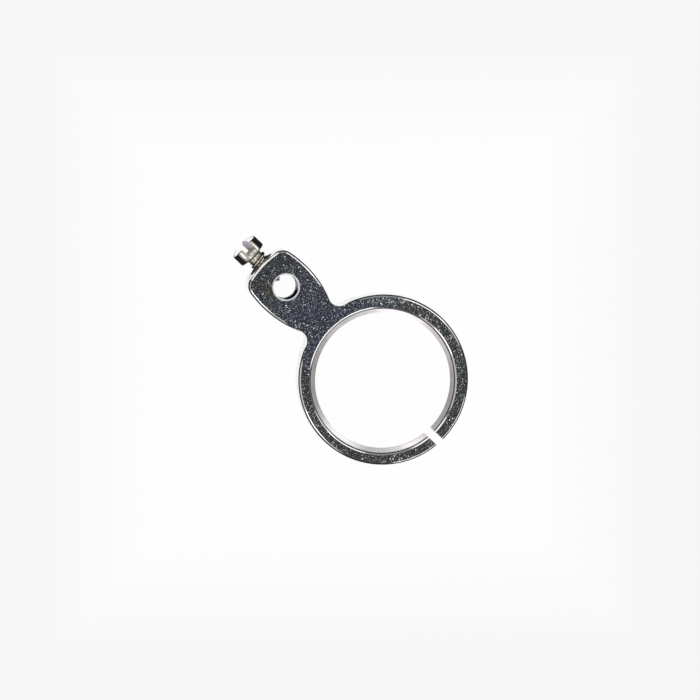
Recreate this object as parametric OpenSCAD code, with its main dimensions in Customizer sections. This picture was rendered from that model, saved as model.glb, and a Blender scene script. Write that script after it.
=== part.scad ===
// Movable hairspring stud carrier of a watch regulator, with its stud screw.
// A split spring ring snaps round the boss of the balance bridge. The arm on it holds the
// hairspring stud in a hole, and a small screw along the arm clamps the stud there.
// Millimetres. The origin is on the ring's axis at the underside, +Z up, +X along the arm.

/* [Ring] */
// Outside diameter of the split ring
ring_d = 3.40; // [3.2:0.05:3.8]
// Diameter of the lip that grips the boss
lip_d = 2.74; // [2.5:0.02:2.8]
// Diameter of the countersink over the lip, inside the polished bevel
mouth_d = 2.88; // [2.84:0.01:2.95]
// Depth of the countersink
mouth_depth = 0.07; // [0.04:0.01:0.12]
// Height of the straight land on the lip
lip_h = 0.08; // [0.04:0.01:0.12]
// Diameter of the lead-in at the underside
lead_d = 2.92; // [2.84:0.02:3.0]
// Width of the slit that lets the ring spring open
slit_w = 0.17; // [0.1:0.01:0.3]
// How far the slit stands to the side of the arm's centre line
slit_offset = 0.12; // [0:0.02:0.3]

/* [Arm] */
// Thickness of the ring and the arm
thickness = 0.60; // [0.56:0.02:0.8]
// Distance from the ring's axis to the end of the arm
arm_reach = 3.36; // [3.3:0.02:3.6]
// Width of the arm at its widest
arm_w = 1.20; // [1.1:0.02:1.4]
// How far the arm stands to the side of the ring's axis
arm_shift = 0.02; // [0:0.01:0.04]
// Distance from the arm's end back to its widest place
belly_back = 0.64; // [0.5:0.02:0.8]
// Radius of the arm's long sides
side_r = 2.20; // [1.8:0.1:3.0]
// Radius of the arm's end
end_r = 1.80; // [1.5:0.1:2.4]
// Radius of the arm's two outer corners
corner_r = 0.26; // [0.15:0.01:0.3]
// Radius of the fillets between the arm and the ring
root_r = 0.20; // [0.1:0.01:0.3]

/* [Edges] */
// Width of the polished bevel round the upper edges
bevel = 0.045; // [0.03:0.005:0.08]
// Width of the broken edge round the underside
under_bevel = 0.02; // [0.01:0.005:0.04]

/* [Stud hole] */
// Diameter of the hole for the hairspring stud
stud_hole_d = 0.50; // [0.4:0.01:0.6]
// Distance from the arm's end back to the middle of the stud hole
stud_hole_back = 0.68; // [0.6:0.02:0.8]
// Width of the chamfer at both mouths of the stud hole
stud_chamfer = 0.03; // [0.01:0.005:0.05]

/* [Stud screw] */
// Outside diameter of the thread
thread_d = 0.40; // [0.3:0.05:0.4]
// Radial clearance between the thread and its hole
thread_clearance = 0.012; // [0.01:0.002:0.03]
// Length of the screw from the underside of its head to its point
shank_l = 0.74; // [0.6:0.02:0.8]
// Length of the cone at the point
point_l = 0.17; // [0.1:0.01:0.2]
// Diameter of the flat on the point
point_d = 0.05; // [0.02:0.01:0.1]
// Diameter of the plain neck under the head
neck_d = 0.32; // [0.24:0.01:0.36]
// Length of the plain neck under the head
neck_l = 0.09; // [0.06:0.01:0.12]
// Diameter of the head
head_d = 0.59; // [0.5:0.01:0.6]
// Height of the head's straight side
head_h = 0.24; // [0.2:0.01:0.3]
// Height of the domed top of the head
dome_h = 0.09; // [0.05:0.01:0.12]
// Depth of the cone on the underside of the head
seat_cone_h = 0.035; // [0.02:0.005:0.05]
// Width of the screwdriver slot
slot_w = 0.215; // [0.1:0.005:0.24]
// Depth of the slot from the top of the dome
slot_depth = 0.25; // [0.15:0.01:0.28]
// How far the slot was cut off the screw's centre
slot_offset = 0.03; // [0:0.01:0.05]
// Turn of the slot about the screw, from upright
slot_turn = 13; // [0:1:180]
// Gap between the arm's end and the underside of the head
head_gap = 0.23; // [0.22:0.01:0.28]

/* [Hidden] */
$fn = 96;
// Steps in one arc of the outline
ARC_STEPS = 7;
// How far a cutter runs past the face that it cuts
OVER = 0.2;
// How far the root fillets cut into the ring's rim, so that they cross it at an angle
ROOT_SINK = 0.01;
// How deep the arm's sides start inside the ring
ROOT_DEPTH = 0.06;

ring_r = ring_d / 2;
lip_z = thickness - mouth_depth;
stud_x = arm_reach - stud_hole_back;
screw_z = thickness / 2;

// Centres of the arcs on one side of the arm, 1 for the left and -1 for the right seen from the
// ring. Both sides are worked out as a left side, and the right one is mirrored afterwards.
function side_c(side) = [arm_reach - belly_back, arm_w / 2 + side * arm_shift - side_r];
function end_c(side) = [arm_reach - end_r, side * arm_shift];
function corner_c(side) = meet(end_c(side), end_r - corner_r, side_c(side), side_r - corner_r);
function root_c(side) = meet([0, 0], ring_r + root_r - ROOT_SINK, side_c(side), side_r + root_r);

// Angles at which one arc runs on into the next
function end_stop(side) = heading(corner_c(side) - end_c(side));
function side_start(side) = heading(corner_c(side) - side_c(side));
function side_stop(side) = heading(root_c(side) - side_c(side));
function root_stop(side) = heading(root_c(side));

function heading(v) = atan2(v[1], v[0]);

// The crossing of two circles that lies to the left of the way from c1 to c2
function meet(c1, r1, c2, r2) =
    let (
        d = norm(c2 - c1),
        along = (r1 * r1 - r2 * r2 + d * d) / (2 * d),
        aside = sqrt(r1 * r1 - along * along),
        u = (c2 - c1) / d
    )
    c1 + along * u + aside * [-u[1], u[0]];

// Points along an arc from angle a to just before angle b
function arc(c, r, a, b, steps) = [
    for (i = [0 : steps - 1])
        c + r * [cos(a + (b - a) * i / steps), sin(a + (b - a) * i / steps)]
];

// One half of the arm from the middle of its end to the ring, drawn in by inset
function arm_half(inset, side) = concat(
    arc(end_c(side), end_r - inset, 0, end_stop(side), ARC_STEPS),
    arc(corner_c(side), corner_r - inset, end_stop(side), side_start(side), ARC_STEPS),
    arc(side_c(side), side_r - inset, side_start(side), side_stop(side), ARC_STEPS),
    arc(root_c(side), root_r + inset, side_stop(side) + 180, root_stop(side) + 180, ARC_STEPS)
);

// A half mirrored and read backwards, without the point on the centre line
function mirrored(half) = [for (i = [len(half) - 1 : -1 : 1]) [half[i][0], -half[i][1]]];

// The arm's outline: left half, a stretch hidden inside the ring, right half
function outline(inset) = concat(
    arm_half(inset, 1),
    [
        for (side = [1, -1])
            (ring_r - inset - ROOT_DEPTH) * [cos(root_stop(side)), side * sin(root_stop(side))]
    ],
    mirrored(arm_half(inset, -1))
);

// A solid through outlines at rising heights, each given as [height, inset]
module loft(sections) {
    rings = [for (s = sections) [for (p = outline(s[1])) [p[0], p[1], s[0]]]];
    n = len(rings[0]);
    top = len(rings) - 1;
    sides = [
        for (k = [0 : top - 1], i = [0 : n - 1])
            [k * n + i, (k + 1) * n + i, (k + 1) * n + (i + 1) % n, k * n + (i + 1) % n]
    ];
    // Strips across the arm between mirrored points, because the outline isn't convex
    strips = [
        for (i = [0 : (n - 3) / 2])
            i == 0 ? [0, 1, n - 1] : [i, i + 1, n - i - 1, n - i]
    ];
    lid = [for (s = strips) [for (j = [len(s) - 1 : -1 : 0]) top * n + s[j]]];
    polyhedron([for (r = rings) each r], concat(strips, lid, sides));
}

// The blank: a bevelled disc and the arm in one plate
module blank() {
    rotate_extrude($fn = 180)
        polygon([
            [0, 0],
            [ring_r - under_bevel, 0],
            [ring_r, under_bevel],
            [ring_r, thickness - bevel],
            [ring_r - bevel, thickness],
            [0, thickness]
        ]);
    loft([
        [0, under_bevel],
        [under_bevel, 0],
        [thickness - bevel, 0],
        [thickness, bevel]
    ]);
}

// The ring's bore: bevel, countersink, lip and lead-in, turned in one profile
module ring_bore() {
    rotate_extrude($fn = 180)
        polygon([
            [0, -OVER],
            [lead_d / 2, -OVER],
            [lead_d / 2, 0],
            [lip_d / 2, lip_z - lip_h],
            [lip_d / 2, lip_z],
            [mouth_d / 2, thickness - bevel],
            [mouth_d / 2 + bevel, thickness],
            [mouth_d / 2 + bevel, thickness + OVER],
            [0, thickness + OVER]
        ]);
}

// The slit, sawn through the ring on the far side from the arm
module slit() {
    translate([-ring_d, slit_offset - slit_w / 2, -OVER])
        cube([ring_d, slit_w, thickness + 2 * OVER]);
}

// The stud hole with a chamfer at each mouth
module stud_hole() {
    hole_r = stud_hole_d / 2;
    translate([stud_x, 0, 0])
        rotate_extrude()
            polygon([
                [0, -OVER],
                [hole_r + stud_chamfer, -OVER],
                [hole_r + stud_chamfer, 0],
                [hole_r, stud_chamfer],
                [hole_r, thickness - stud_chamfer],
                [hole_r + stud_chamfer, thickness],
                [hole_r + stud_chamfer, thickness + OVER],
                [0, thickness + OVER]
            ]);
}

// The screw's hole, from the arm's end into the stud hole
module screw_hole() {
    translate([stud_x, 0, screw_z])
        rotate([0, 90, 0])
            cylinder(r = thread_d / 2 + thread_clearance, h = stud_hole_back + OVER);
}

module stud_carrier() {
    color([0.24, 0.26, 0.29])
        difference() {
            blank();
            ring_bore();
            slit();
            stud_hole();
            screw_hole();
        }
}

// The screw as turned, standing on its point, with the head's underside at height 0
module screw_body() {
    head_r = head_d / 2;
    dome_r = (head_r * head_r + dome_h * dome_h) / (2 * dome_h);
    rotate_extrude()
        polygon([
            [0, -shank_l],
            [point_d / 2, -shank_l],
            [thread_d / 2, point_l - shank_l],
            [thread_d / 2, -neck_l],
            [neck_d / 2, -neck_l],
            [neck_d / 2, -seat_cone_h],
            [head_r, 0],
            [head_r, head_h],
            [0, head_h]
        ]);
    translate([0, 0, head_h])
        intersection() {
            cylinder(r = head_r, h = dome_h);
            translate([0, 0, dome_h - dome_r])
                sphere(r = dome_r);
        }
}

module stud_screw() {
    color([0.62, 0.58, 0.53])
        translate([arm_reach + head_gap, 0, screw_z])
            difference() {
                rotate([0, 90, 0])
                    screw_body();
                rotate([slot_turn, 0, 0])
                    translate([head_h + dome_h - slot_depth, slot_offset - slot_w / 2, -head_d])
                        cube([slot_depth + OVER, slot_w, 2 * head_d]);
            }
}

stud_carrier();
stud_screw();
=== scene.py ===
# %% [markdown]
# The object is the movable stud carrier of a watch regulator, with its stud screw.
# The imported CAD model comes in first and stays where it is. Everything below is
# built round it in the same frame, and rides on its two bodies.

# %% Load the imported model
import math

import bmesh
import bpy
from mathutils import Matrix, Vector


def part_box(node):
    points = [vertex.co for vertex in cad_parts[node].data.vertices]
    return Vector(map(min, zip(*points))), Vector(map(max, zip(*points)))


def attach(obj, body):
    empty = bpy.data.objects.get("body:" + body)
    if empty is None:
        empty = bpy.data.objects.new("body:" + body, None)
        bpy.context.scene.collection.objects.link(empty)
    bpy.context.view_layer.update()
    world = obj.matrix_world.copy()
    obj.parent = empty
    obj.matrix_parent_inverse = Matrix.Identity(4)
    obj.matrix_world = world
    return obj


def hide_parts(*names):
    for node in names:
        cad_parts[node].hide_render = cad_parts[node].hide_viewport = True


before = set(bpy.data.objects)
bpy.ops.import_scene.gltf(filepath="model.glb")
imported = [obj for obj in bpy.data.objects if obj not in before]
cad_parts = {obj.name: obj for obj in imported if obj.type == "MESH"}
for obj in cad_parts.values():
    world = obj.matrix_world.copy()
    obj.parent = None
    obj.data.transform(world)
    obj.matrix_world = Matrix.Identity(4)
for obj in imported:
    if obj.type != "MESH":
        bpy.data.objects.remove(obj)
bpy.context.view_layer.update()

# %% [markdown]
# The real part is about as long as a grain of rice, so its sizes are written in
# millimetres and meshes are made at that scale, where cutting one solid from another
# is exact enough. Each finished mesh is then shrunk to metres. The sizes are those of
# the CAD source. A few were measured again in the photograph, and differ from it by up
# to three hundredths of a millimetre.

# %% Sizes in millimetres
MM = 0.001
IN_MM = 1 / MM

THICKNESS = 0.60
RING_R, LIP_R, MOUTH_R, LEAD_R = 1.6995, 1.3575, 1.438, 1.46
LIP_TOP, LIP_H = 0.53, 0.08
LIP_CENTRE, MOUTH_CENTRE = (-0.005, 0.014), (-0.003, 0.027)
SLIT_W, SLIT_Y = 0.17, 0.12
ARM_REACH, ARM_W, ARM_SHIFT, BELLY_BACK = 3.36, 1.20, 0.02, 0.64
SIDE_R, END_R, CORNER_R, ROOT_R = 2.20, 1.80, 0.26, 0.20
BEVEL, UNDER_BEVEL = 0.046, 0.02
STUD_X, STUD_Y, STUD_R, STUD_CHAMFER = ARM_REACH - 0.662, 0.006, 0.25, 0.027
SCREW_Z, HEAD_X = THICKNESS / 2, ARM_REACH + 0.23

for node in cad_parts:
    low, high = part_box(node)
    print(node, [round(v / MM, 3) for v in (*low, *high)])

# %% [markdown]
# The photograph was taken from almost straight above, with a long lens. The arm
# points to the upper left. The camera leans a little towards the screw and slightly to
# one side, so that part of the wall shows in each hole. A camera is placed by three
# axes: right and up in the picture, and back from the object to the lens.

# %% Camera
LEAN, SIDE_LEAN, ARM_RISE = math.radians(8.3), math.radians(1.2), math.radians(43.732)
TARGET = Vector((0.903, 0.032, THICKNESS)) * MM
PICTURE_WIDTH = 13.905 * MM
LENS, SENSOR = 400, 36

back = Vector((math.sin(LEAN), math.sin(SIDE_LEAN), math.cos(LEAN))).normalized()
along = (Vector((1, 0, 0)) - back * back.x).normalized()
across = back.cross(along)
picture_right = -math.cos(ARM_RISE) * along - math.sin(ARM_RISE) * across
picture_up = math.sin(ARM_RISE) * along - math.cos(ARM_RISE) * across

camera_data = bpy.data.cameras.new("camera")
camera_data.sensor_width, camera_data.lens = SENSOR, LENS
camera_data.clip_start = MM
camera = bpy.data.objects.new("camera", camera_data)
bpy.context.scene.collection.objects.link(camera)
distance = PICTURE_WIDTH * LENS / SENSOR
turn = Matrix((picture_right, picture_up, back)).transposed().normalized()
camera.matrix_world = Matrix.Translation(TARGET + back * distance) @ turn.to_4x4()
bpy.context.scene.camera = camera
bpy.context.scene.view_settings.view_transform = "Standard"
print("camera stands", round(distance / MM, 1), "mm from the part")

# %% [markdown]
# Every finish below is a set of shader nodes. Writing them as sums is easier to read
# than placing boxes, so one small class wraps a socket: maths on it adds Math nodes,
# and node() adds any other kind.


# %% Shader maths
class Wire:
    """A socket in a shader tree. Maths on it adds nodes."""

    def __init__(self, tree, socket=None):
        self.tree, self.socket = tree, socket

    def node(self, kind, settings=None, sockets=None, out=0):
        made = self.tree.nodes.new("ShaderNode" + kind)
        for name, value in (settings or {}).items():
            setattr(made, name, value)
        for name, value in (sockets or {}).items():
            if isinstance(value, Wire):
                self.tree.links.new(value.socket, made.inputs[name])
            else:
                made.inputs[name].default_value = value
        return Wire(self.tree, made.outputs[out] if made.outputs else None)

    def math(self, operation, *values):
        return self.node("Math", {"operation": operation}, dict(enumerate(values)))

    def __add__(self, other):
        return self.math("ADD", self, other)

    def __sub__(self, other):
        return self.math("SUBTRACT", self, other)

    def __rsub__(self, other):
        return self.math("SUBTRACT", other, self)

    def __mul__(self, other):
        return self.math("MULTIPLY", self, other)

    def __pow__(self, other):
        return self.math("POWER", self, other)

    def __abs__(self):
        return self.math("ABSOLUTE", self)

    __radd__ = __add__
    __rmul__ = __mul__

    def larger(self, other):
        return self.math("MAXIMUM", self, other)

    def rise(self, low, high):
        """0 below low, 1 above high, and smooth between them."""
        return self.node(
            "MapRange",
            {"interpolation_type": "SMOOTHSTEP"},
            {"Value": self, "From Min": low, "From Max": high},
        )

    def between(self, low, high, soft):
        """1 from low to high, with soft edges."""
        return self.rise(low - soft, low + soft) * (1 - self.rise(high - soft, high + soft))

    def blend(self, low, high):
        """The colour low where this is 0 or less, and high where it is 1 or more."""
        colours = {"Factor": self, 6: low, 7: high}
        return self.node("Mix", {"data_type": "RGBA"}, colours, out=2)

    def scaled(self, factor):
        """A vector or colour multiplied by one number."""
        return self.node("VectorMath", {"operation": "SCALE"}, {0: self, "Scale": factor})

    def axes(self):
        parts = self.node("SeparateXYZ", None, {0: self})
        return [Wire(self.tree, socket) for socket in parts.socket.node.outputs]


def rgb(red, green, blue):
    return (red, green, blue, 1.0)


def start_tree(owner):
    owner.use_nodes = True
    owner.node_tree.nodes.clear()
    return Wire(owner.node_tree)


def span_from(x, y, place=(0, 0)):
    """How far a spot at x and y lies from one place."""
    beyond, aside = x - place[0], y - place[1]
    return (beyond * beyond + aside * aside) ** 0.5


def light_path(tree):
    """Two values: 1 for mirrored rays only, and 1 for all rays that make the picture."""
    outputs = tree.node("LightPath").socket.node.outputs
    names = ("Is Camera Ray", "Is Glossy Ray", "Is Transmission Ray")
    straight, mirrored, through = (Wire(tree.tree, outputs[name]) for name in names)
    return mirrored, (straight + mirrored + through).rise(0.4, 0.6)


print("shader maths ready")

# %% [markdown]
# The photograph's background is blown out to white, and the polished steel mirrors an
# uneven studio. Its white, grey and dark lines were followed back to the sky, where
# places are counted from the one that level steel mirrors to the camera, almost
# straight above. That place is bright. Round it lies a grey patch, then a ring that the
# countersunk seat mirrors, then a ring that the steep part of the polished edges
# mirrors, and the horizon is dark. Both rings are lit in sectors, given in degrees
# round the part.
#
# A world can show one thing to the camera and another to reflections, through Light
# Path. The camera gets plain white, the steel gets the studio, and everything else
# gets an even light.

# %% World: sizes of the sky
ZENITH, OVERHEAD, GAP, SEAT_GREY = 1.0, 0.55, 0.05, 0.34
OVERHEAD_FROM, SEAT_FROM, ROUND_FROM = (0.14, 0.24), (0.30, 0.37), (0.58, 0.64)
HORIZON = (0.02, 0.12)
SECTOR_SOFT = 3.0
EVEN_LIGHT = 0.8

# How much brighter than its ring a sector is, and the sectors' starts and stops
SEAT_SKY = [
    (1.01, (-99, -71), (-32, -10), (98, 140)),
    (0.28, (-190, -172), (-110, -99), (-71, -32), (58, 98), (140, 190)),
]
ROUND_SKY = [
    (1.425, (-190, -149), (141, 190)),
    (0.7125, (-112, -88)),
    (1.0125, (-22, 14)),
    (0.22, (-62, -22)),
    (0.528, (20, 103)),
]
print(len(SEAT_SKY) + len(ROUND_SKY), "levels of light in the sky's sectors")


# %% World
def ring_of_sky(around, base, lit):
    """A ring of sky as bright as base, and brighter inside its sectors."""
    level = base
    for gain, *spans in lit:
        for start, stop in spans:
            level = around.between(start, stop, SECTOR_SOFT) * gain + level
    return level


world = bpy.data.worlds.new("studio")
bpy.context.scene.world = world
tree = start_tree(world)
east, north, height = tree.node("TexCoord", out="Generated").axes()
ahead_of, beside = east + back.x, north + back.y
slope = span_from(ahead_of, beside)
around = beside.math("ARCTAN2", beside, ahead_of) * math.degrees(1)
level = ZENITH + slope.rise(*OVERHEAD_FROM) * (OVERHEAD - ZENITH)
level = level + slope.rise(*SEAT_FROM) * (ring_of_sky(around, SEAT_GREY, SEAT_SKY) - level)
level = level + slope.rise(*ROUND_FROM) * (ring_of_sky(around, GAP, ROUND_SKY) - level)
level = GAP + height.rise(*HORIZON) * (level - GAP)
studio = level.node("VectorMath", {"operation": "SCALE"}, {0: (1, 1, 1), "Scale": level})
mirrored, shown = light_path(tree)
seen = mirrored.blend(rgb(1, 1, 1), studio)
light = shown.blend(rgb(EVEN_LIGHT, EVEN_LIGHT, EVEN_LIGHT), seen)
background = tree.node("Background", None, {"Color": light})
tree.node("OutputWorld", None, {"Surface": background})
print("world: studio for reflections, white for the camera")

# %% [markdown]
# The part lies on a pale table. The photograph's table is white except for a faint
# grey towards the picture's sides. So most of the floor's light is its own white, and
# the rest is an ordinary matt surface that takes the part's shadow.
#
# Reflections see the table lit only in a pool under the part and in a strip ahead of
# the screw, and dark beyond. The pool's rim is what draws the thin dark line round the
# polished edges.

# %% Floor: mesh
FLOOR_HALF = 80 * MM
FLOOR_DROP = 0.0004 * MM

floor_mesh = bpy.data.meshes.new("floor")
corners = [(x * FLOOR_HALF, y * FLOOR_HALF, 0) for x, y in ((-1, -1), (1, -1), (1, 1), (-1, 1))]
floor_mesh.from_pydata(corners, [], [(0, 1, 2, 3)])
floor = bpy.data.objects.new("floor", floor_mesh)
bpy.context.scene.collection.objects.link(floor)
floor.location = (TARGET.x, TARGET.y, -FLOOR_DROP)
floor.rotation_euler = (0, 0, math.atan2(picture_right.y, picture_right.x))
print("floor", round(2 * FLOOR_HALF / MM), "mm across")

# %% Floor: table top
SIDE_GREY = 0.070
OWN_LIGHT, OWN_LIGHT_MIRRORED = 0.97, 1.0
POOL_DARK, AHEAD_GAIN = 0.02, 1.1

# Soft borders in millimetres, each as where it begins and where it ends
INNER_GREY, OUTER_GREY = (3.4, 5.2), (4.9, 6.3)
RING_POOL = (1.20, 1.26), (1.80, 1.95)
ARM_POOL, ARM_POOL_SIDE = ((1.60, 1.66), (3.42, 3.50)), (0.70, 0.82)
AHEAD_POOL, AHEAD_POOL_SIDE = ((3.90, 3.96), (6.0, 7.0)), (0.50, 0.65)


def within(value, start, stop):
    """1 between two soft borders, and 0 outside them."""
    return value.rise(*start) * (1 - value.rise(*stop))


table = bpy.data.materials.new("table")
tree = start_tree(table)
mirrored, shown = light_path(tree)
side, up, _ = tree.node("TexCoord", out="Object").scaled(IN_MM).axes()
from_middle = abs(side).larger(abs(up))
# Painted shade: the table's white falls off to a faint grey towards the sides.
greyed = (from_middle.rise(*INNER_GREY) + from_middle.rise(*OUTER_GREY)) * 0.5
x, y, _ = tree.node("NewGeometry", out="Position").scaled(IN_MM).axes()
from_axis, aside = span_from(x, y), abs(y)
under_ring = within(from_axis, *RING_POOL)
under_arm = within(x, *ARM_POOL) * (1 - aside.rise(*ARM_POOL_SIDE))
ahead = within(x, *AHEAD_POOL) * (1 - aside.rise(*AHEAD_POOL_SIDE))
pool = under_ring.larger(under_arm).larger(ahead * AHEAD_GAIN)
in_mirror = pool * (1 - POOL_DARK) + POOL_DARK
white = mirrored * in_mirror + (1 - mirrored) * (1 - greyed * SIDE_GREY)
glow = tree.node("Emission", None, {"Color": white.blend(rgb(0, 0, 0), rgb(1, 1, 1))})
matt = tree.node("BsdfDiffuse", None, {"Color": rgb(0.92, 0.92, 0.92)})
own_light = shown * (OWN_LIGHT + mirrored * (OWN_LIGHT_MIRRORED - OWN_LIGHT))
mixed = tree.node("MixShader", None, {0: own_light, 1: matt, 2: glow})
tree.node("OutputMaterial", None, {"Surface": mixed})
floor_mesh.materials.append(table)
print("table top ready")

# %% [markdown]
# Two soft boxes stand on either side of the arm. On a round steel screw each of them
# shows as one white stripe along it, and their heights decide how far from the middle
# the stripes run.


# %% Lamps
LAMP_REACH = 60.0
LAMP_AIM = Vector((3.7, 0, SCREW_Z))


def soft_box(name, toward, elevation, width, depth, brightness):
    """A rectangle of light beside the screw, at an elevation in degrees."""
    data = bpy.data.lights.new(name, "AREA")
    data.shape = "RECTANGLE"
    data.size, data.size_y = width * MM, depth * MM
    data.energy = brightness * math.pi * width * depth * MM * MM
    lamp = bpy.data.objects.new(name, data)
    bpy.context.scene.collection.objects.link(lamp)
    rise = math.radians(elevation)
    away = Vector((0, toward * math.cos(rise), math.sin(rise)))
    axes = Matrix(((1, 0, 0), tuple(away.cross(Vector((1, 0, 0)))), tuple(away)))
    place = (LAMP_AIM + away * LAMP_REACH) * MM
    lamp.matrix_world = Matrix.Translation(place) @ axes.transposed().to_4x4()
    print(name, "at", [round(v / MM, 1) for v in place])


soft_box("box_right", toward=-1, elevation=25, width=34, depth=18, brightness=1.4)
soft_box("box_left", toward=1, elevation=33, width=24, depth=14, brightness=2.2)

# %% [markdown]
# The carrier is one flat plate: a spring ring and an arm, joined by hollow fillets.
# Its outline is a chain of arcs that run smoothly into each other. Drawing each arc
# from its centre makes an inner copy easy, because an arc that bulges outwards only
# gets a smaller radius and a hollow one a larger radius.


# %% Outline of the plate: circles and arcs
ARC_STEPS, RING_STEPS = (20, 24, 48, 20), 330


def heading(v):
    return math.atan2(v[1], v[0])


def smooth(value):
    """0 below 0, 1 above 1, and smooth between them."""
    value = min(1.0, max(0.0, value))
    return value * value * (3 - 2 * value)


def meet(c1, r1, c2, r2):
    """The crossing of two circles to the left of the way from c1 to c2."""
    c1, c2 = Vector(c1), Vector(c2)
    d = (c2 - c1).length
    forward = (r1 * r1 - r2 * r2 + d * d) / (2 * d)
    aside = math.sqrt(r1 * r1 - forward * forward)
    u = (c2 - c1) / d
    return c1 + u * forward + Vector((-u.y, u.x)) * aside


def arc(centre, radius, start, stop, steps):
    turns = [start + (stop - start) * i / steps for i in range(steps)]
    return [(centre[0] + radius * math.cos(a), centre[1] + radius * math.sin(a)) for a in turns]


def arc_centres(side):
    """Centres of end, corner, side and root arcs, left (1) or right drawn as a left (-1)."""
    flank = Vector((ARM_REACH - BELLY_BACK, ARM_W / 2 + side * ARM_SHIFT - SIDE_R))
    end = Vector((ARM_REACH - END_R, side * ARM_SHIFT))
    corner = meet(end, END_R - CORNER_R, flank, SIDE_R - CORNER_R)
    return end, corner, flank, meet((0, 0), RING_R + ROOT_R, flank, SIDE_R + ROOT_R)


CENTRES = {side: arc_centres(side) for side in (1, -1)}


def arm_half(inset, side):
    """One side of the arm from its end to the ring, drawn in by inset."""
    end, corner, flank, root = CENTRES[side]
    end_stop, flank_start = heading(corner - end), heading(corner - flank)
    flank_stop, root_stop = heading(root - flank), heading(root)
    at_end, at_corner, at_flank, at_root = ARC_STEPS
    return (
        arc(end, END_R - inset, 0, end_stop, at_end)
        + arc(corner, CORNER_R - inset, end_stop, flank_start, at_corner)
        + arc(flank, SIDE_R - inset, flank_start, flank_stop, at_flank)
        + arc(root, ROOT_R + inset, flank_stop + math.pi, root_stop + math.pi, at_root)
    )


print(len(arm_half(0, 1)), "points along one side of the arm")

# %% [markdown]
# In the photograph the bevel isn't equally wide all round, as if it were filed by
# hand. It is narrow in the hollow roots, where a file hardly reaches, and a little
# narrower on the slit's side of the ring. So each point of the inner outline is drawn
# back towards the outer one by how far the file got there.


# %% Outline of the plate: bevel
IN_ROOT, ROOT_SPAN = 0.30, (0.03, 0.30)
SLIT_SIDE_LOSS, SLIT_SIDE_START, SLIT_SIDE_SPAN = 0.15, 0.9, 0.4


def file_reach(x, y):
    """How much of the full bevel the file leaves at one point of the outline."""
    root = CENTRES[1 if y > 0 else -1][3]
    from_fillet = math.hypot(x - root.x, abs(y) - root.y) - ROOT_R
    in_open = IN_ROOT + (1 - IN_ROOT) * smooth((from_fillet - ROOT_SPAN[0]) / ROOT_SPAN[1])
    return in_open * (1 - SLIT_SIDE_LOSS * smooth((-x - SLIT_SIDE_START) / SLIT_SIDE_SPAN))


def plate_outline(inset):
    """Points round the whole plate, drawn in by as much of inset as the file reached."""
    def whole(inset):
        left, right = arm_half(inset, 1), arm_half(inset, -1)
        start, stop = heading(CENTRES[1][3]), 2 * math.pi - heading(CENTRES[-1][3])
        ring = arc((0, 0), RING_R - inset, start, stop, RING_STEPS)
        meeting = ((RING_R - inset) * math.cos(stop), (RING_R - inset) * math.sin(stop))
        return left + ring + [meeting] + [(x, -y) for x, y in reversed(right[1:])]

    drawn = []
    for (x0, y0), (x1, y1) in zip(whole(0), whole(inset)):
        reach = file_reach(x0, y0)
        drawn.append((x0 + (x1 - x0) * reach, y0 + (y1 - y0) * reach))
    return drawn


print(len(plate_outline(0)), "points round the plate")

# %% [markdown]
# The finishes are named before the meshes, so that a cutter can leave its own finish
# on the surface it cuts. All meshes of the carrier share this list.

# %% Finishes of the carrier
FACE, BEVELLED, WALL, SEAT, BORE, STUD_WALL, CHAMFER, UNDERSIDE, SAWN, SCREW_WALL = range(10)
FINISHES = [
    "grained_face",
    "polished_bevel",
    "outer_wall",
    "turned_seat",
    "gripping_bore",
    "stud_hole_wall",
    "stud_hole_chamfer",
    "satin_underside",
    "sawn_slit",
    "tapped_hole",
]
carrier_finishes = [bpy.data.materials.new(name) for name in FINISHES]
print(len(carrier_finishes), "finishes")

# %% [markdown]
# The polished edge isn't a flat chamfer. It is rounded by the polishing wood, so it
# leaves the face at a slight angle and steepens towards the wall. A few narrow strips
# on a circle's arc give that, and smooth shading does the rest.


# %% Profiles
def rounded_edge(width, start, stop, steps):
    """Points (distance in from the edge, depth below the face), from slope to slope."""
    start, stop = math.radians(start), math.radians(stop)
    radius = width / (math.sin(stop) - math.sin(start))
    turns = [start + (stop - start) * i / steps for i in range(steps + 1)]
    return [
        (
            width - radius * (math.sin(a) - math.sin(start)),
            radius * (math.cos(start) - math.cos(a)),
        )
        for a in turns
    ]


EDGE = rounded_edge(BEVEL, start=26, stop=73, steps=6)
UNDER_EDGE = rounded_edge(UNDER_BEVEL, start=35, stop=75, steps=3)
EDGE_DEPTH = EDGE[-1][1]
print("polished edge is", round(EDGE_DEPTH, 4), "mm deep")


# %% [markdown]
# A mesh is a list of points and a list of faces, and every face carries the number of
# its finish. The plate could be one mesh drawn with all its holes, but cutting is
# simpler and closer to how such a part is machined: a closed blank first, and then
# closed cutters taken out of it by the Boolean modifier.


# %% Mesh helpers: solids
WELD_GAP = 1e-5


def mesh_of(name, points, faces, marks, finishes):
    """An object whose faces are marked with the numbers of their finishes."""
    mesh = bpy.data.meshes.new(name)
    mesh.from_pydata(points, [], faces)
    made = bpy.data.objects.new(name, mesh)
    bpy.context.scene.collection.objects.link(made)
    for finish in finishes:
        mesh.materials.append(finish)
    mesh.polygons.foreach_set("material_index", marks)
    return made


def weld(made):
    """Joins points that lie together, and takes out the faces that this flattens."""
    shape = bmesh.new()
    shape.from_mesh(made.data)
    bmesh.ops.remove_doubles(shape, verts=shape.verts, dist=WELD_GAP)
    bmesh.ops.dissolve_degenerate(shape, edges=shape.edges, dist=WELD_GAP / 4)
    bmesh.ops.recalc_face_normals(shape, faces=shape.faces)
    shape.to_mesh(made.data)
    shape.free()
    return made


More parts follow.
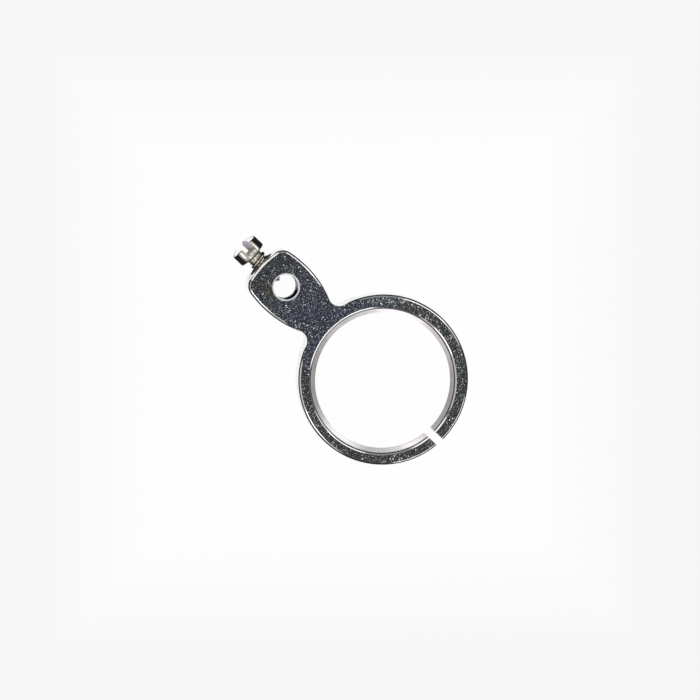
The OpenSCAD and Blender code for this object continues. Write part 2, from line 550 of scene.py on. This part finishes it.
def loft(name, levels, finishes):
    """A closed solid through outlines. A level is (points, height, finish above it)."""
    count = len(levels[0][0])
    points = [(x, y, z) for outline, z, _ in levels for x, y in outline]
    faces, marks = [tuple(range(count - 1, -1, -1))], [UNDERSIDE]
    for k in range(len(levels) - 1):
        low, high = k * count, (k + 1) * count
        for i in range(count):
            j = (i + 1) % count
            faces.append((low + i, low + j, high + j, high + i))
            marks.append(levels[k][2])
    top = (len(levels) - 1) * count
    faces.append(tuple(range(top, top + count)))
    marks.append(FACE)
    return mesh_of(name, points, faces, marks, finishes)


def turned(name, profile, steps, finishes, centre=(0, 0)):
    """A solid turned about Z. The profile runs upwards as (radius, height, finish above)."""
    points, faces, marks = [], [], []
    cos = [math.cos(2 * math.pi * i / steps) for i in range(steps)]
    sin = [math.sin(2 * math.pi * i / steps) for i in range(steps)]
    for r, z, _ in profile:
        points += [(centre[0] + r * cos[i], centre[1] + r * sin[i], z) for i in range(steps)]
    faces.append(tuple(range(steps - 1, -1, -1)))
    marks.append(profile[0][2])
    for k in range(len(profile) - 1):
        low, high = k * steps, (k + 1) * steps
        for i in range(steps):
            j = (i + 1) % steps
            faces.append((low + i, low + j, high + j, high + i))
            marks.append(profile[k][2])
    last = (len(profile) - 1) * steps
    faces.append(tuple(range(last, last + steps)))
    marks.append(profile[-1][2])
    return mesh_of(name, points, faces, marks, finishes)


def block(name, low, high, mark, finishes):
    """A box from its low to its high corner, all in one finish."""
    (x0, y0, z0), (x1, y1, z1) = low, high
    points = [(x, y, z) for z in (z0, z1) for y in (y0, y1) for x in (x0, x1)]
    faces = [(0, 2, 3, 1), (4, 5, 7, 6), (0, 1, 5, 4), (2, 6, 7, 3), (0, 4, 6, 2), (1, 3, 7, 5)]
    return mesh_of(name, points, faces, [mark] * 6, finishes)


print("solids: loft, turned and block")


# %% Mesh helpers: cutting and finishing
def cut(body, tool):
    """Takes the tool's solid away from the body, and the tool with it."""
    step = body.modifiers.new("cut", "BOOLEAN")
    step.operation, step.solver, step.object = "DIFFERENCE", "EXACT", tool
    bpy.context.view_layer.update()
    machined = body.evaluated_get(bpy.context.evaluated_depsgraph_get())
    shape = bpy.data.meshes.new_from_object(machined)
    body.modifiers.clear()
    old, body.data = body.data, shape
    print(body.name, "cut by", tool.name, "has", len(shape.polygons), "faces")
    bpy.data.meshes.remove(old)
    bpy.data.objects.remove(tool)


def finish_mesh(made, sharp_degrees):
    """Smooth shading with crisp edges, shrunk from millimetres to metres."""
    mesh = made.data
    mesh.polygons.foreach_set("use_smooth", [True] * len(mesh.polygons))
    mesh.set_sharp_from_angle(angle=math.radians(sharp_degrees))
    mesh.transform(Matrix.Scale(MM, 4))
    mesh.update()
    print(made.name, "finished with", len(mesh.polygons), "faces")


print("mesh helpers ready")

# %% [markdown]
# The blank is lofted first: underside edge, wall, polished edge, face. Then the bore,
# the slit, the stud hole and the hole for the screw are cut. The bore stands 0.015 mm
# and its mouth 0.027 mm off the ring's axis, and the photograph shows it by the face
# being wider on one side.

# %% Carrier: blank
levels = [(plate_outline(inset), depth, WALL) for inset, depth in UNDER_EDGE]
levels += [
    (plate_outline(inset), THICKNESS - depth, BEVELLED) for inset, depth in reversed(EDGE)
]
carrier = loft("carrier_plate", levels, carrier_finishes)
print("blank", len(carrier.data.polygons), "faces")

# %% Carrier: bore and mouth
OVER = 0.2
BORE_STEPS, HOLE_STEPS, TAP_STEPS = 360, 120, 96
SEAT_INNER, SEAT_DROP = LIP_R - 0.04, 0.0125

bore_profile = [
    (LEAD_R, -OVER, BORE),
    (LEAD_R, 0.0, BORE),
    (LIP_R, LIP_TOP - LIP_H, BORE),
    (LIP_R, LIP_TOP, BORE),
    (LIP_R, THICKNESS + OVER, BORE),
]
cut(carrier, turned("bore", bore_profile, BORE_STEPS, carrier_finishes, LIP_CENTRE))
mouth_profile = [
    (SEAT_INNER, LIP_TOP - SEAT_DROP, SEAT),
    (MOUTH_R, THICKNESS - EDGE_DEPTH, BEVELLED),
    *((MOUTH_R + inset, THICKNESS - depth, BEVELLED) for inset, depth in reversed(EDGE[:-1])),
    (MOUTH_R + BEVEL, THICKNESS + OVER, BEVELLED),
]
cut(carrier, turned("mouth", mouth_profile, BORE_STEPS, carrier_finishes, MOUTH_CENTRE))

# %% Carrier: slit and holes
SAW_STOP = -1.0
TAP_R, TAP_MOUTH_R, TAP_RIM_R = 0.212, 0.268, 0.274
TAP_CONE_START, TAP_CONE_STOP = ARM_REACH - 0.055, ARM_REACH - 0.005

slit_low = (-2 * RING_R, SLIT_Y - SLIT_W / 2, -OVER)
slit_high = (SAW_STOP, SLIT_Y + SLIT_W / 2, THICKNESS + OVER)
cut(carrier, block("saw", slit_low, slit_high, SAWN, carrier_finishes))
stud_profile = [
    (STUD_R + STUD_CHAMFER, -OVER, UNDERSIDE),
    (STUD_R + STUD_CHAMFER, 0.0, CHAMFER),
    (STUD_R, STUD_CHAMFER, STUD_WALL),
    (STUD_R, THICKNESS - STUD_CHAMFER, CHAMFER),
    (STUD_R + STUD_CHAMFER, THICKNESS, CHAMFER),
    (STUD_R + STUD_CHAMFER, THICKNESS + OVER, CHAMFER),
]
stud_drill = turned("stud_drill", stud_profile, HOLE_STEPS, carrier_finishes, (STUD_X, STUD_Y))
cut(carrier, stud_drill)
tap_profile = [
    (TAP_R, STUD_X, SCREW_WALL),
    (TAP_R, TAP_CONE_START, SCREW_WALL),
    (TAP_MOUTH_R, TAP_CONE_STOP, SCREW_WALL),
    (TAP_RIM_R, ARM_REACH + OVER, SCREW_WALL),
]
tap = turned("tap", tap_profile, TAP_STEPS, carrier_finishes)
lay_down = Matrix.Rotation(math.pi / 2, 4, "Y")
tap.data.transform(Matrix.Translation((0, 0, SCREW_Z)) @ lay_down)
cut(carrier, tap)

# %% Carrier: into the frame
finish_mesh(carrier, sharp_degrees=12)
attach(carrier, "carrier")
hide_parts("stud_carrier")

# %% [markdown]
# The screw is turned from the bar: a domed head with a saw slot, a plain neck, a
# thread and a cone at the end that presses on the stud. A lathe profile gives all but
# the thread. For the thread, rows of points follow the helix, so the crest is a clean
# line instead of a staircase. Where a row would run past an end it is held there, and
# welding closes what folds up.

# %% Screw: sizes
THREAD_R, ROOT_THREAD_R, PITCH = 0.200, 0.152, 0.10
HEAD_R, HEAD_H, DOME_H = 0.297, 0.24, 0.09
NECK_R, NECK_L, SEAT_CONE = 0.158, 0.085, 0.035
SHANK_L, POINT_L, POINT_R = 0.74, 0.17, 0.025
SLOT_W, SLOT_DEPTH, SLOT_OFF, SLOT_TURN = 0.215, 0.25, 0.03, math.radians(13)
RUN_OUT_POINT, RUN_OUT_NECK, THREAD_START = 0.05, 0.025, 0.022
SCREW_STEPS, PER_PITCH, DOME_STEPS = 120, 12, 12
INSIDE_BOX, SAW_SIDE = 0.0005, 0.5
HEAD_SIDE, DOME, SLOT_CUT, SHANK = range(4)
SCREW_NAMES = ("turned_head", "polished_dome", "sawn_slot", "threaded_shank")
screw_finishes = [bpy.data.materials.new(name) for name in SCREW_NAMES]
dome_r = (HEAD_R * HEAD_R + DOME_H * DOME_H) / (2 * DOME_H)
print(len(screw_finishes), "finishes, dome radius", round(dome_r, 3), "mm")


# %% Screw: rows of points along its length
def circle_row(r, x):
    """A row that goes straight round, at one radius and one place along the screw."""
    return [(x, r) for _ in range(SCREW_STEPS + 1)]


def thread_radius(phase):
    """Rounded crest, sloping flanks and rounded root over one pitch, 0 at the crest."""
    wave = 0.5 + 0.5 * math.cos(2 * math.pi * phase)
    return ROOT_THREAD_R + (THREAD_R - ROOT_THREAD_R) * (wave * wave * (3 - 2 * wave))


def thread_row(k, x0, x1):
    """Row k of the helix between x0 and x1, where the thread runs out to its root."""
    row = []
    for i in range(SCREW_STEPS + 1):
        lead = PITCH * i / SCREW_STEPS
        x = min(x1, max(x0, x0 + k * PITCH / PER_PITCH + lead))
        r = thread_radius((x - lead - THREAD_START) / PITCH)
        full = smooth((x - x0) / RUN_OUT_POINT) * smooth((x1 - x) / RUN_OUT_NECK)
        row.append((x, ROOT_THREAD_R + (r - ROOT_THREAD_R) * full))
    return row


# Every corner is broken by about a hundredth of a millimetre, as on a turned screw
cone_end = (ROOT_THREAD_R - POINT_R) / (THREAD_R - POINT_R) * POINT_L - SHANK_L
neck_end = -NECK_L
last = math.ceil((neck_end - cone_end) / PITCH * PER_PITCH)
point = [(0.0, -SHANK_L), (POINT_R - 0.006, -SHANK_L), (POINT_R, -SHANK_L + 0.004)]
neck = [(ROOT_THREAD_R, neck_end), (NECK_R, neck_end + 0.02)]
neck += [(NECK_R, -SEAT_CONE - 0.008), (NECK_R + 0.012, -SEAT_CONE)]
head = [(HEAD_R - 0.012, -0.004), (HEAD_R - 0.003, 0.002), (HEAD_R, 0.012)]
head += [(HEAD_R, HEAD_H - 0.012), (HEAD_R - 0.003, HEAD_H - 0.002)]
rim = math.asin((HEAD_R - 0.010) / dome_r)
turns = [rim * (1 - i / DOME_STEPS) for i in range(DOME_STEPS + 1)]
dome_top = HEAD_H + DOME_H - INSIDE_BOX
dome = [(dome_r * math.sin(a), dome_top - dome_r * (1 - math.cos(a))) for a in turns]

rows = [circle_row(*spot) for spot in (*point, (ROOT_THREAD_R, cone_end))]
rows += [thread_row(k, cone_end, neck_end) for k in range(-PER_PITCH, last + 1)]
rows += [circle_row(*spot) for spot in neck]
shank_rows = len(rows)
rows += [circle_row(*spot) for spot in head]
dome_rows = len(rows)
rows += [circle_row(*spot) for spot in dome]
print(len(rows), "rows along the screw")

# %% Screw: mesh
points, faces, marks = [], [], []
for row in rows:
    for i, (x, r) in enumerate(row):
        turn_angle = 2 * math.pi * i / SCREW_STEPS
        points.append((HEAD_X + x, r * math.cos(turn_angle), SCREW_Z + r * math.sin(turn_angle)))
width = SCREW_STEPS + 1
for k in range(len(rows) - 1):
    for i in range(SCREW_STEPS):
        a, b = k * width + i, (k + 1) * width + i
        faces.append((a, a + 1, b + 1, b))
        marks.append(SHANK if k < shank_rows else HEAD_SIDE if k < dome_rows else DOME)
screw = weld(mesh_of("stud_screw_turned", points, faces, marks, screw_finishes))
slot_low = (HEAD_H + DOME_H - SLOT_DEPTH, SLOT_OFF - SLOT_W / 2, -SAW_SIDE)
slot_high = (HEAD_H + DOME_H + OVER, SLOT_OFF + SLOT_W / 2, SAW_SIDE)
saw = block("slot_saw", slot_low, slot_high, SLOT_CUT, screw_finishes)
to_head = Matrix.Translation((HEAD_X, 0, SCREW_Z))
saw.data.transform(to_head @ Matrix.Rotation(SLOT_TURN, 4, "X"))
cut(screw, saw)
finish_mesh(screw, sharp_degrees=24)
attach(screw, "screw")
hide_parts("stud_screw")

# %% [markdown]
# Steel is one shader in every finish below: a colour, a roughness and a little relief
# are painted over it, and how metallic it is belongs to the whole finish. Bare polished
# steel is fully metallic. Dirt, oil and a dull skin scatter light as well, so the
# finishes that have them are less so.


# %% Steel
def steel(material, paint, metallic=1.0, gloss=0.5):
    """paint(spot) gives a finish's colour, roughness and relief, and the relief's depth."""
    tree = start_tree(material)
    spot = tree.node("TexCoord", out="Object").scaled(IN_MM)
    colour, rough, relief, depth = paint(spot)
    sockets = {"Base Color": colour, "Metallic": metallic, "Roughness": rough}
    sockets["Specular IOR Level"] = gloss
    bump = {"Height": relief, "Strength": 1.0, "Distance": depth * MM}
    sockets["Normal"] = tree.node("Bump", None, bump)
    shader = tree.node("BsdfPrincipled", None, sockets)
    tree.node("OutputMaterial", None, {"Surface": shader})
    print("finish", material.name)


def noise(spot, scale, detail=2.0):
    return spot.node("TexNoise", None, {"Vector": spot, "Scale": scale, "Detail": detail})


def grains(spot, scale):
    """Three random numbers per grain, from a cell pattern."""
    cells = spot.node("TexVoronoi", None, {"Vector": spot, "Scale": scale}, out="Color")
    return cells.axes()


def tool_lines(value, scale):
    """Fine lines of noise across one direction, as a tool leaves them."""
    sockets = {"W": value, "Scale": scale, "Detail": 3.0}
    return value.node("TexNoise", {"noise_dimensions": "1D"}, sockets)


def tilt(spot):
    """0 where a surface faces the eye, 1 where it is seen edge on."""
    return spot.node("LayerWeight", None, {"Blend": 0.5}, out="Facing")


print("steel shader ready")

# %% [markdown]
# The face is dark gunmetal with bright sparks one to two hundredths of a millimetre
# across. They look like the facets of a fine grain, each tilted its own way. Random
# numbers per grain give each facet a brightness, on two sizes of grain. A high power
# keeps most of them dark and lets a few flash.


# %% Grained face
BLUE_ROOT, WORN_SPOT, BRIGHT_SPOT = (1.7, 0), (2.92, 0.27), (1.1, -1.14)
FINE_GRAIN, COARSE_GRAIN = 110.0, 52.0


def face_tint(spot):
    """Grey steel, blue at the arm's root, green at its tip and olive in one worn spot."""
    x, y, _ = spot.axes()
    cool = (x.rise(0.2, 1.5) * 0.7 + noise(spot, 1.3, 3.0) * 0.6).rise(0.15, 0.95)
    base = cool.blend(rgb(0.068, 0.069, 0.069), rgb(0.063, 0.069, 0.080))
    in_root = 1 - span_from(x, y, BLUE_ROOT).rise(0.4, 1.5)
    base = in_root.blend(base, rgb(0.058, 0.064, 0.092))
    base = x.rise(2.7, 3.3).blend(base, rgb(0.053, 0.062, 0.068))
    worn = (1 - span_from(x, y, WORN_SPOT).rise(0.06, 0.26)) * 0.7
    return worn.blend(base, rgb(0.076, 0.070, 0.056))


def paint_face(spot):
    """The tint with a grey for every grain, and the sparks added to it."""
    x, y, _ = spot.axes()
    one, two, three = grains(spot, FINE_GRAIN)
    flake, _, _ = grains(spot, COARSE_GRAIN)
    bright = 1 - span_from(x, y, BRIGHT_SPOT).rise(0.2, 0.6)
    grey = face_tint(spot).scaled(one**3.0 * 1.7 + two * 0.3 + 0.11 + bright * 0.22)
    lively = 0.065 + (0 - y).rise(0.6, 1.3) * 0.045 - x.rise(2.6, 3.1) * 0.030
    # Painted highlights: the sparks are glints of the grain's facets, painted into the colour.
    flash = (one**50.0 * 20.0 + flake**70.0 * 18.0) * lively
    sparks = three.blend(rgb(0.90, 1.0, 1.06), rgb(1.06, 1.0, 0.90)).scaled(flash)
    colour = grey.node("VectorMath", {"operation": "ADD"}, {0: grey, 1: sparks})
    return colour, 0.13 + two * 0.08, one + noise(spot, 60.0) * 0.5, 0.0001


steel(carrier_finishes[FACE], paint_face, metallic=0.85, gloss=0.3)

# %% [markdown]
# The bevels and walls are polished, so what they show is the studio. A pale steel
# colour, faint polishing lines and small stains are painted on, and three marks as
# well: a black line in the corner of the bore's mouth, which is painted shade; near
# black round the screw on the arm's end, which is painted shade of the screw, with a
# grey strip beside it that is a painted reflection of the screw; and a corner of the
# bevel that has gone dull. Each is a change of colour inside a radius or a strip, so
# it needs no mesh of its own.


# %% Polished edges
DULL_CORNER, DULL_EDGE = (3.25, 0.48), (0.06, 0.12)
CORNER_SHADE_EDGE, CORNER_SHADE_TOP = (1.50, 1.54), (THICKNESS - 0.028, THICKNESS - 0.018)


def paint_bevel(spot):
    x, y, z = spot.axes()
    stain = noise(spot, 9.0, 4.0)
    colour = stain.rise(0.35, 0.75).blend(rgb(0.86, 0.86, 0.86), rgb(0.97, 0.97, 0.97))
    dull = 1 - span_from(x, y, DULL_CORNER).rise(*DULL_EDGE)
    colour = dull.blend(colour, rgb(0.42, 0.42, 0.43))
    # Painted shade: a black line at the foot of the bevel, in the corner of the bore's mouth.
    corner_shade = (1 - span_from(x, y).rise(*CORNER_SHADE_EDGE)) * (1 - z.rise(*CORNER_SHADE_TOP))
    colour = corner_shade.blend(colour, rgb(0.10, 0.09, 0.085))
    return colour, 0.08 + stain * 0.07, noise(spot, 30.0), 0.0004


steel(carrier_finishes[BEVELLED], paint_bevel)


# %% Walls and bore
AT_ARM_END = (3.25, 3.32)
SCREW_REFLECTION_SPAN, SCREW_REFLECTION_SOFT = (0.31, 0.42), 0.03
SCREW_SHADE_CENTRE, SCREW_SHADE_EDGE = (0.02, SCREW_Z), (0.280, 0.305)


def paint_wall(spot):
    x, y, z = spot.axes()
    lines, stain = tool_lines(z, 45.0), noise(spot, 5.0, 4.0)
    shade = (lines * 0.5 + stain * 0.6).rise(0.3, 0.8)
    colour = shade.blend(rgb(0.84, 0.85, 0.86), rgb(0.97, 0.97, 0.97))
    at_end = x.rise(*AT_ARM_END)
    # Painted shade and a painted reflection of the screw: near black round it, where the wall is
    # also rougher, and a grey strip beside it.
    screw_reflection = at_end * y.between(*SCREW_REFLECTION_SPAN, SCREW_REFLECTION_SOFT)
    oil_and_shade = at_end * (1 - span_from(y, z, SCREW_SHADE_CENTRE).rise(*SCREW_SHADE_EDGE))
    colour = screw_reflection.blend(colour, rgb(0.66, 0.64, 0.70))
    rough = 0.11 + shade * 0.08 + oil_and_shade * 0.85
    return oil_and_shade.blend(colour, rgb(0.02, 0.02, 0.02)), rough, lines, 0.0010


def paint_bore(spot):
    _, _, z = spot.axes()
    lines, stain = tool_lines(z, 60.0), noise(spot, 7.0, 4.0)
    shade = (lines * 0.5 + stain * 0.6).rise(0.3, 0.8)
    colour = shade.blend(rgb(0.52, 0.52, 0.53), rgb(0.80, 0.79, 0.79))
    return colour, 0.30 + lines * 0.14, lines, 0.0010


steel(carrier_finishes[WALL], paint_wall, metallic=0.7)
steel(carrier_finishes[BORE], paint_bore, metallic=0.6)

# %% [markdown]
# The countersunk seat is turned, so fine rings run round it. Noise along the distance
# from its centre gives them without a mesh of grooves. In the photograph the seat is
# lavender grey on the arm's side and warmer on the slit's side, so two pairs of colours
# are blended across it.


# %% Seat
WARM_X, WARM_Y, WARM_FROM = 0.72, 0.69, (0.3, 1.1)


def paint_seat(spot):
    x, y, _ = spot.axes()
    lines = tool_lines(span_from(x, y, MOUTH_CENTRE), 90.0)
    stain = noise(spot, 6.0, 4.0)
    shade = (lines * 0.5 + stain * 0.5).rise(0.3, 0.7)
    out_x, out_y = x - MOUTH_CENTRE[0], y - MOUTH_CENTRE[1]
    warm = (0 - out_x * WARM_X - out_y * WARM_Y).rise(*WARM_FROM)
    low = warm.blend(rgb(0.72, 0.69, 0.71), rgb(0.79, 0.73, 0.70))
    high = warm.blend(rgb(0.96, 0.93, 0.95), rgb(0.99, 0.93, 0.91))
    return shade.blend(low, high), 0.13 + lines * 0.10, lines, 0.0006


steel(carrier_finishes[SEAT], paint_seat)

# %% [markdown]
# The stud hole's wall is painted black as shade, except near its lower mouth and
# along two strips at its sides. A dark colour alone would still shine, so this finish
# isn't metallic and has no gloss. The chamfer round it is pale and matt.


# %% Stud hole
UNSHADED_RIGHT, UNSHADED_LEFT, UNSHADED_BELOW = (-0.17, -0.09), (0.17, 0.22), (0.12, 0.20)


def paint_stud_wall(spot):
    _, y, z = spot.axes()
    # Painted shade: the wall is near black except in the unshaded strips and near its lower
    # mouth.
    unshaded = (1 - y.rise(*UNSHADED_RIGHT)).larger(y.rise(*UNSHADED_LEFT))
    unshaded = unshaded.larger(1 - z.rise(*UNSHADED_BELOW))
    stain = noise(spot, 18.0, 3.0) * 0.15
    colour = unshaded.blend(rgb(0.004, 0.004, 0.005), rgb(0.86, 0.85, 0.88))
    return colour, 0.40 + stain, noise(spot, 40.0), 0.0008


def paint_chamfer(spot):
    stain = noise(spot, 22.0, 3.0)
    colour = stain.rise(0.3, 0.7).blend(rgb(0.80, 0.80, 0.82), rgb(0.98, 0.98, 0.98))
    return colour, 0.45 + stain * 0.12, stain, 0.0008


steel(carrier_finishes[STUD_WALL], paint_stud_wall, metallic=0.0, gloss=0.0)
steel(carrier_finishes[CHAMFER], paint_chamfer, metallic=0.25)


# %% [markdown]
# The photograph hardly shows the other surfaces, so their looks are guessed. The
# underside is stoned flat on fine grit, the slit keeps the lines of its saw, and the
# hole for the screw is painted near black as shade between it and the screw. The
# grains and lines from above are used again.


# %% Underside, slit and screw hole
def paint_underside(spot):
    one, two, _ = grains(spot, 45.0)
    drift = noise(spot, 3.0, 4.0)
    shade = (one * 0.5 + drift * 0.8).rise(0.2, 1.0)
    colour = shade.blend(rgb(0.16, 0.17, 0.18), rgb(0.34, 0.35, 0.37))
    return colour, 0.35 + two * 0.12, one, 0.0006


steel(carrier_finishes[UNDERSIDE], paint_underside)


def paint_sawn(spot):
    _, _, z = spot.axes()
    lines = tool_lines(z, 70.0)
    colour = lines.rise(0.3, 0.7).blend(rgb(0.60, 0.60, 0.62), rgb(0.85, 0.85, 0.86))
    return colour, 0.25 + lines * 0.2, lines, 0.0010


steel(carrier_finishes[SAWN], paint_sawn)


def paint_tapped(spot):
    # Painted shade: the hole round the screw is near black.
    colour = noise(spot, 30.0).blend(rgb(0.006, 0.006, 0.006), rgb(0.030, 0.028, 0.026))
    return colour, 0.35 + noise(spot, 12.0) * 0.1, noise(spot, 50.0), 0.0010


steel(carrier_finishes[SCREW_WALL], paint_tapped, metallic=0.0, gloss=0.1)

# %% [markdown]
# The screw's steel is warmer than the carrier's, with fine rings across it from the
# tool. Its head is bright where it faces the eye and nearly black at both sides, where
# polished steel mirrors the dark of the room. Dark cards beside it would show in the
# bevels too, so its colour falls off with the angle of view instead.


# %% Screw: head and dome
HEAD_DARKENS, DARK_SIDE = (0.17, 0.27), rgb(0.060, 0.056, 0.052)


def paint_head(spot):
    x, _, _ = spot.axes()
    rings, stain = tool_lines(x, 45.0), noise(spot, 14.0, 4.0)
    shade = (rings * 0.5 + stain * 0.6).rise(0.3, 0.8)
    facing = shade.blend(rgb(0.26, 0.24, 0.18), rgb(0.97, 0.95, 0.90))
    colour = tilt(spot).rise(*HEAD_DARKENS).blend(facing, DARK_SIDE)
    return colour, 0.09 + stain * 0.08, rings, 0.0012


def paint_dome(spot):
    stain = noise(spot, 20.0, 4.0)
    colour = stain.rise(0.35, 0.7).blend(rgb(0.90, 0.90, 0.89), rgb(0.99, 0.99, 0.98))
    return colour, 0.07 + stain * 0.06, stain, 0.0004


steel(screw_finishes[HEAD_SIDE], paint_head, metallic=0.7)
steel(screw_finishes[DOME], paint_dome)

# %% [markdown]
# The slot is sawn and left matt, lavender at its top and brown and darker towards its
# bottom, which is painted shade. The thread has its real form in the mesh, and shows
# mostly as glints with brown and olive oil between them. Both are painted over that
# form, the glints as painted highlights. Seen edge on, the thread is painted nearly
# black, a painted reflection of the dark room as on the head. The point is left clean
# and pale.


# %% Screw: slot and thread
SLOT_SHADE_LIFTS = (HEAD_X + 0.085, HEAD_X + 0.165)
THREAD_DARKENS, TIP_ENDS = (0.30, 0.52), (2.98, 3.06)


def paint_slot(spot):
    speck, _, _ = grains(spot, 60.0)
    stain = noise(spot, 20.0, 4.0)
    slot_top = (speck * 0.5 + stain * 0.5).blend(rgb(0.66, 0.64, 0.74), rgb(0.95, 0.93, 1.0))
    shade = (speck * 0.4 + stain * 0.8).rise(0.3, 0.8)
    slot_bottom_shade = shade.blend(rgb(0.16, 0.14, 0.10), rgb(0.72, 0.67, 0.58))
    x, _, _ = spot.axes()
    # Painted shade: the slot darkens to brown towards its bottom.
    colour = x.rise(*SLOT_SHADE_LIFTS).blend(slot_bottom_shade, slot_top)
    return colour, 0.50 + stain * 0.15, speck, 0.0010


def paint_shank(spot):
    x, _, _ = spot.axes()
    rings, stain = tool_lines(x, 60.0), noise(spot, 22.0, 3.0)
    shade = (rings * 0.3 + stain * 1.1).rise(0.52, 0.88)
    patches = noise(spot, 15.0).rise(0.42, 0.58)
    oil_and_shade = patches.blend(rgb(0.30, 0.18, 0.09), rgb(0.17, 0.18, 0.08))
    # Painted highlights: the noise lifts the oil to near-white glints.
    oil_and_glints = shade.blend(oil_and_shade, rgb(1.0, 0.96, 0.88))
    # Painted reflection: the thread darkens to near black where it is seen edge on, as the head
    # does.
    colour = tilt(spot).rise(*THREAD_DARKENS).blend(oil_and_glints, rgb(0.035, 0.030, 0.026))
    bare_tip = 1 - x.rise(*TIP_ENDS)
    colour = bare_tip.blend(colour, rgb(0.85, 0.85, 0.86))
    return colour, 0.16 + stain * 0.14, stain + rings * 0.2, 0.0060


steel(screw_finishes[SLOT_CUT], paint_slot, metallic=0.15)
steel(screw_finishes[SHANK], paint_shank, metallic=0.7)
